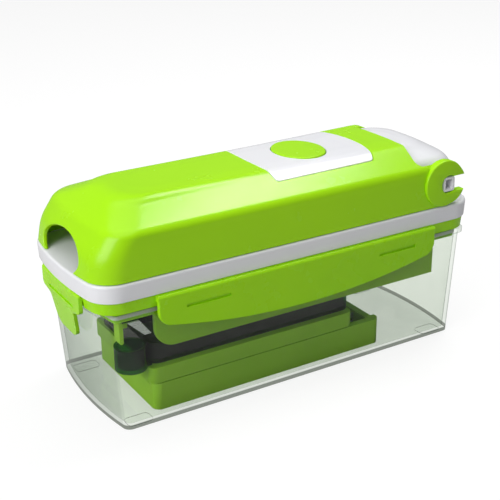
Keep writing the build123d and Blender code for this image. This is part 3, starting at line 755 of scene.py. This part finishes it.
def make_cover_shell():
    """Crowned lime cover with its finger arch, panel seat and hinge ears."""
    skin = cover_skin()
    skin = clip(*skin, tail_field)
    skin = clip(*skin, rear_field)
    skin = clip(*skin, arch_field)
    seat = clip(*skin, lambda p: 4.0 - panel_field(p, 0.0))
    seat = clip(*seat, lambda p: button_field(p, 0.6))
    lowered = seat[0] - vertex_normals(*seat) * (PANEL_THICK + 0.1)
    skin = clip(*skin, lambda p: panel_field(p, 0.25 + 0.3))
    shell = thicken(*skin, COVER_WALL)
    floor = thicken(lowered, seat[1], COVER_WALL - PANEL_THICK - 0.15, 0.2)
    near = ear()
    shape = joined(shell, floor, near, flipped_y(near))
    return make_object("cover_moulding", shape, "cover", "lime_cover", ("cover_shell",))


def make_cover_panel():
    """White panel let flush into the cover, with the button's opening."""
    skin = cover_skin()
    skin = clip(*skin, lambda p: -panel_field(p, -0.2))
    skin = clip(*skin, lambda p: button_field(p, 0.35 + 0.3))
    shape = thicken(*skin, PANEL_THICK, 0.3)
    return make_object("cover_panel_moulding", shape, "cover", "white_plastic", ("cover_panel",))


# ---- white base frame -----------------------------------------------------------
RING_STEPS = (40, 12, 26)


def at_level(outline, z):
    """Plan outline at a height."""
    return np.column_stack([outline, np.full(len(outline), z)])


def frame_ring(inward, z):
    """Outline of the base frame moved inward."""
    corner = CROWN_CORNER - 0.6 * inward
    half_length, half_width = FRAME_HALF_LENGTH - inward, FRAME_HALF_WIDTH - inward
    return at_level(ring_outline(half_length, half_width, corner, RING_STEPS), z)


def frame_skirt_and_deck():
    """Skirt, rounded upper edge, deck and the opening for the grid insert."""
    wall, deck, seat = 3.4, 4.5, 2.1
    round_edge = 1.5
    rings = [frame_ring(wall, FRAME_BOTTOM + 0.3), frame_ring(wall - 0.3, FRAME_BOTTOM),
             frame_ring(0.75, FRAME_BOTTOM), frame_ring(0.45, FRAME_BOTTOM + 0.3)]
    for k in range(7):
        a = math.pi / 2 * k / 6
        rings.append(frame_ring(round_edge * (1 - math.cos(a)),
                                DECK_TOP - round_edge * (1 - math.sin(a))))
    gap = 0.25
    left, right = GRID_LOW[0] - gap, GRID_HIGH[0] + gap
    flange = (GRID_HIGH[1] - GRID_LOW[1]) / 2 + gap
    lower = dict(x0=left + 1.2, x1=right - 1.2, half_width=flange - 1.4, corner=3.0, steps=RING_STEPS)
    upper = dict(x0=left, x1=right, half_width=flange, corner=4.0, steps=RING_STEPS)
    rings.append(frame_ring(3.0, DECK_TOP))
    rings.append(at_level(box_outline(**{**upper, "x0": left - 0.4, "x1": right + 0.4,
                                         "half_width": flange + 0.4}), DECK_TOP))
    rings.append(at_level(box_outline(**upper), DECK_TOP - 0.4))
    rings.append(at_level(box_outline(**upper), DECK_TOP - seat))
    rings.append(at_level(box_outline(**lower), DECK_TOP - seat))
    rings.append(at_level(box_outline(**lower), DECK_TOP - deck))
    rings.append(frame_ring(wall, DECK_TOP - deck))
    rings.append(rings[0])
    points = np.concatenate(rings[:-1])
    count = len(rings[0])
    faces = grid_faces(len(rings) - 1, count, closed=True)
    last = (len(rings) - 2) * count
    for j in range(count):
        k = (j + 1) % count
        faces.append((last + j, last + k, k, j))
    return points, faces


def hinge_dome():
    """Rounded white housing between the hinge ears, closed at its inner end."""
    side = rounded_path(DOME_SIDE, 7, 7)
    end = rounded_path(DOME_END, 7, 7)
    points, faces = crown_sheet(side, end, DOME_LEFT, 1, (20, 12, 26), across=16)
    step = {a: b for a, b in open_edges(faces)}
    loop = [next(iter(step))]
    while step[loop[-1]] != loop[0]:
        loop.append(step[loop[-1]])
    wall = [v for v in loop if abs(points[v][0] - DOME_LEFT) < 1e-6]
    start = loop.index(wall[0])
    loop = loop[start:] + loop[:start]
    wall = [v for v in loop if abs(points[v][0] - DOME_LEFT) < 1e-6]
    low = [v for v in wall if points[v][2] < DECK_TOP]
    if len(low) > 2:
        wall = [v for v in wall if v not in low[1:-1]]
    faces = faces + [tuple(reversed(wall))]
    return bevelled_wall((points, faces))


def bevelled_wall(shape):
    """Rounds the edge between the housing's skin and its flat inner end."""
    bm = to_bmesh(shape)
    bmesh.ops.recalc_face_normals(bm, faces=bm.faces)
    sharp = [e for e in bm.edges if len(e.link_faces) == 2 and e.calc_face_angle(0) > 1.0]
    bmesh.ops.bevel(bm, geom=sharp, offset=1.2, segments=4, profile=0.5,
                    affect="EDGES", clamp_overlap=True)
    bm.verts.index_update()
    points = np.array([v.co for v in bm.verts])
    faces = [tuple(v.index for v in f.verts) for f in bm.faces]
    bm.free()
    return points, faces


def hinge_pin():
    """Hollow rounded-square pin of the near side."""
    outer = rounded_outline([(4.7, 4.9, 1.6), (-4.7, 4.9, 1.6), (-4.7, -4.9, 1.6), (4.7, -4.9, 1.6)])
    inner = outer * np.array((0.58, 0.63))
    levels = ((outer, PIN_ROOT), (outer, PIN_TIP + 0.5), (outer * 0.95, PIN_TIP),
              (inner * 1.08, PIN_TIP), (inner, PIN_TIP + 0.5), (inner, PIN_DEPTH))
    rings = []
    for outline, y in levels:
        rings.append(np.column_stack([outline[:, 0] + HINGE[0], np.full(len(outline), y),
                                      outline[:, 1] + HINGE[2]]))
    return lofted(rings)


def make_base_frame():
    """White frame with its deck, hinge housing and hollow pins."""
    pin = hinge_pin()
    shape = joined(frame_skirt_and_deck(), hinge_dome(), pin, flipped_y(pin))
    return make_object("base_frame_moulding", shape, "cutting_unit", "white_plastic", ("base_frame",))


# ---- carried-over CAD nodes -------------------------------------------------------
WELD_REACH = 2e-6                       # metres
FLAT_ANGLE = 0.3                        # degrees


def dress(node, slot, bevel=0.0, angle=40):
    """Gives a CAD node its material, and rounds its edges where asked."""
    obj = frame["nodes"][node]
    for place in obj.material_slots:
        place.link = "OBJECT"
        place.material = MATERIALS[slot]
    if bevel:
        weld = obj.modifiers.new("weld", "WELD")
        weld.merge_threshold = WELD_REACH
        flat = obj.modifiers.new("flat", "DECIMATE")
        flat.decimate_type = "DISSOLVE"
        flat.angle_limit = math.radians(FLAT_ANGLE)
        edge = obj.modifiers.new("edges", "BEVEL")
        edge.width = bevel * MM
        edge.segments = 3
        edge.limit_method = "ANGLE"
        edge.angle_limit = math.radians(angle)
        edge.harden_normals = True


def dress_all():
    """Materials for every CAD node that stays in view."""
    dress("container", "clear_plastic")
    dress("storage_lid", "lime_lid")
    dress("lid_seal", "seal_rubber")
    for latch in ("front_latch", "back_latch", "arch_end_latch", "hinge_end_latch"):
        dress(latch, "lime_lid")
    dress("grid_insert_frame", "lime_insert")
    dress("grid_blades_lengthwise", "blade_steel")
    dress("grid_blades_crosswise", "blade_steel")
    dress("pusher_plate", "white_plastic")
    dress("release_button", "lime_cover")
    dress("button_spring", "spring_steel")
    dress("strip_insert_frame", "lime_insert", 0.8)
    dress("strip_insert_blades", "blade_steel")
    dress("wedge_insert_frame", "lime_insert", 0.6)
    dress("wedge_insert_blades", "blade_steel")
    dress("food_holder", "tinted_clear")
    dress("slicer_frame", "lime_insert", 0.8)
    dress("slicer_blade", "blade_steel")
    dress("peeler_blade", "blade_steel")
    dress("peeler_handle", "lime_insert")


# ---- stage -------------------------------------------------------------------------
WORLD_BRIGHT, WORLD_DIM, WORLD_MIRRORED = 0.62, 0.34, 0.22


def make_floor():
    """Plain pale floor."""
    mesh = bpy.data.meshes.new("floor")
    bm = bmesh.new()
    bmesh.ops.create_grid(bm, x_segments=2, y_segments=2, size=6.0)
    bm.to_mesh(mesh)
    bm.free()
    floor = bpy.data.objects.new("floor", mesh)
    floor.location.z = cad_bounds[0].z - 0.0002
    bpy.context.scene.collection.objects.link(floor)
    n = Nodes("pale_floor")
    lit = n.add("ShaderNodeBsdfDiffuse", Color=(0.93, 0.93, 0.93, 1.0))
    glow = n.add("ShaderNodeEmission", Color=(1.0, 1.0, 1.0, 1.0), Strength=1.02)
    seen = n.add("ShaderNodeMixShader")
    seen.inputs[0].default_value = 0.8
    n.feed(seen.inputs[1], lit.outputs[0])
    n.feed(seen.inputs[2], glow.outputs[0])
    bounced = n.add("ShaderNodeBsdfDiffuse", Color=(0.4, 0.4, 0.4, 1.0))
    rays = n.add("ShaderNodeLightPath")
    mix = n.add("ShaderNodeMixShader")
    n.feed(mix.inputs[0], rays.outputs["Is Camera Ray"])
    n.feed(mix.inputs[1], bounced.outputs[0])
    n.feed(mix.inputs[2], seen.outputs[0])
    mesh.materials.append(n.finish(mix.outputs[0]))


def make_world():
    """Soft surroundings: brighter to the left and above, dim where mirrored, white where seen."""
    world = bpy.data.worlds.new("studio")
    bpy.context.scene.world = world
    world.use_nodes = True
    tree = world.node_tree
    tree.nodes.clear()

    def link(a, b):
        tree.links.new(a, b)

    def backdrop(strength):
        node = tree.nodes.new("ShaderNodeBackground")
        if isinstance(strength, float):
            node.inputs["Strength"].default_value = strength
        else:
            link(strength, node.inputs["Strength"])
        return node.outputs[0]

    def either(share, one, two):
        mix = tree.nodes.new("ShaderNodeMixShader")
        link(share, mix.inputs[0])
        link(one, mix.inputs[1])
        link(two, mix.inputs[2])
        return mix.outputs[0]

    direction = tree.nodes.new("ShaderNodeTexCoord").outputs["Generated"]
    toward = tree.nodes.new("ShaderNodeVectorMath")
    toward.operation = "DOT_PRODUCT"
    toward.inputs[1].default_value = Vector((0.35, -0.9, -0.1)).normalized()
    link(direction, toward.inputs[0])
    ramp = tree.nodes.new("ShaderNodeMapRange")
    for key, value in (("From Min", -0.7), ("From Max", 0.9),
                       ("To Min", WORLD_BRIGHT), ("To Max", WORLD_DIM)):
        ramp.inputs[key].default_value = value
    link(toward.outputs["Value"], ramp.inputs["Value"])
    rays = tree.nodes.new("ShaderNodeLightPath")
    shown = either(rays.outputs["Is Glossy Ray"], backdrop(ramp.outputs[0]), backdrop(WORLD_MIRRORED))
    shown = either(rays.outputs["Is Camera Ray"], shown, backdrop(1.0))
    out = tree.nodes.new("ShaderNodeOutputWorld")
    link(shown, out.inputs["Surface"])


def softbox(name, place, aim, width, height, watts):
    """Rectangular soft light, places in metres."""
    data = bpy.data.lights.new(name, "AREA")
    data.shape = "RECTANGLE"
    data.size, data.size_y = width, height
    data.energy = watts
    light = bpy.data.objects.new(name, data)
    light.location = place
    light.rotation_mode = "QUATERNION"
    light.rotation_quaternion = (Vector(aim) - Vector(place)).to_track_quat("-Z", "Y")
    bpy.context.scene.collection.objects.link(light)


def make_lights():
    """Large lights overhead and on the arch side, and a small one that lights the shoulder."""
    middle = (0.0, 0.0, 0.08)
    softbox("overhead", (-0.15, 0.1, 1.5), middle, 1.6, 1.2, 7.6)
    softbox("arch_side", (-1.2, -0.35, 0.75), middle, 0.9, 0.9, 12.5)
    softbox("shoulder", (0.5, 0.19, 1.05), (0.5, 0.19, 0.0), 0.36, 0.36, 5.0)


AZIMUTH, ELEVATION, ROLL = -31.18, 22.46, -0.64     # degrees
DISTANCE, LENS, SENSOR = 0.6672, 75.44, 36.0
TARGET = Vector((-0.0084, 0.0, 0.0718))


def make_camera():
    """Camera in front of the arch end, slightly above."""
    az, el, roll = (math.radians(a) for a in (AZIMUTH, ELEVATION, ROLL))
    back = Vector((math.sin(az) * math.cos(el), -math.cos(az) * math.cos(el), math.sin(el)))
    right = (-back).cross(Vector((0, 0, 1))).normalized()
    up = right.cross(-back)
    turned_right = right * math.cos(roll) + up * math.sin(roll)
    turned_up = up * math.cos(roll) - right * math.sin(roll)
    data = bpy.data.cameras.new("camera")
    data.lens, data.sensor_width = LENS, SENSOR
    camera = bpy.data.objects.new("camera", data)
    turn = Matrix((turned_right, turned_up, back)).transposed().to_4x4()
    camera.matrix_world = Matrix.Translation(TARGET + back * DISTANCE) @ turn
    bpy.context.scene.collection.objects.link(camera)
    bpy.context.scene.camera = camera


def main():
    """Builds every piece and the stage."""
    make_cover_shell()
    make_cover_panel()
    make_base_frame()
    dress_all()
    make_floor()
    make_world()
    make_lights()
    make_camera()
    scene = bpy.context.scene
    scene.view_settings.view_transform = "Standard"
    scene.cycles.transmission_bounces = 16
    scene.cycles.max_bounces = 20
    scene.cycles.transparent_max_bounces = 24


main()
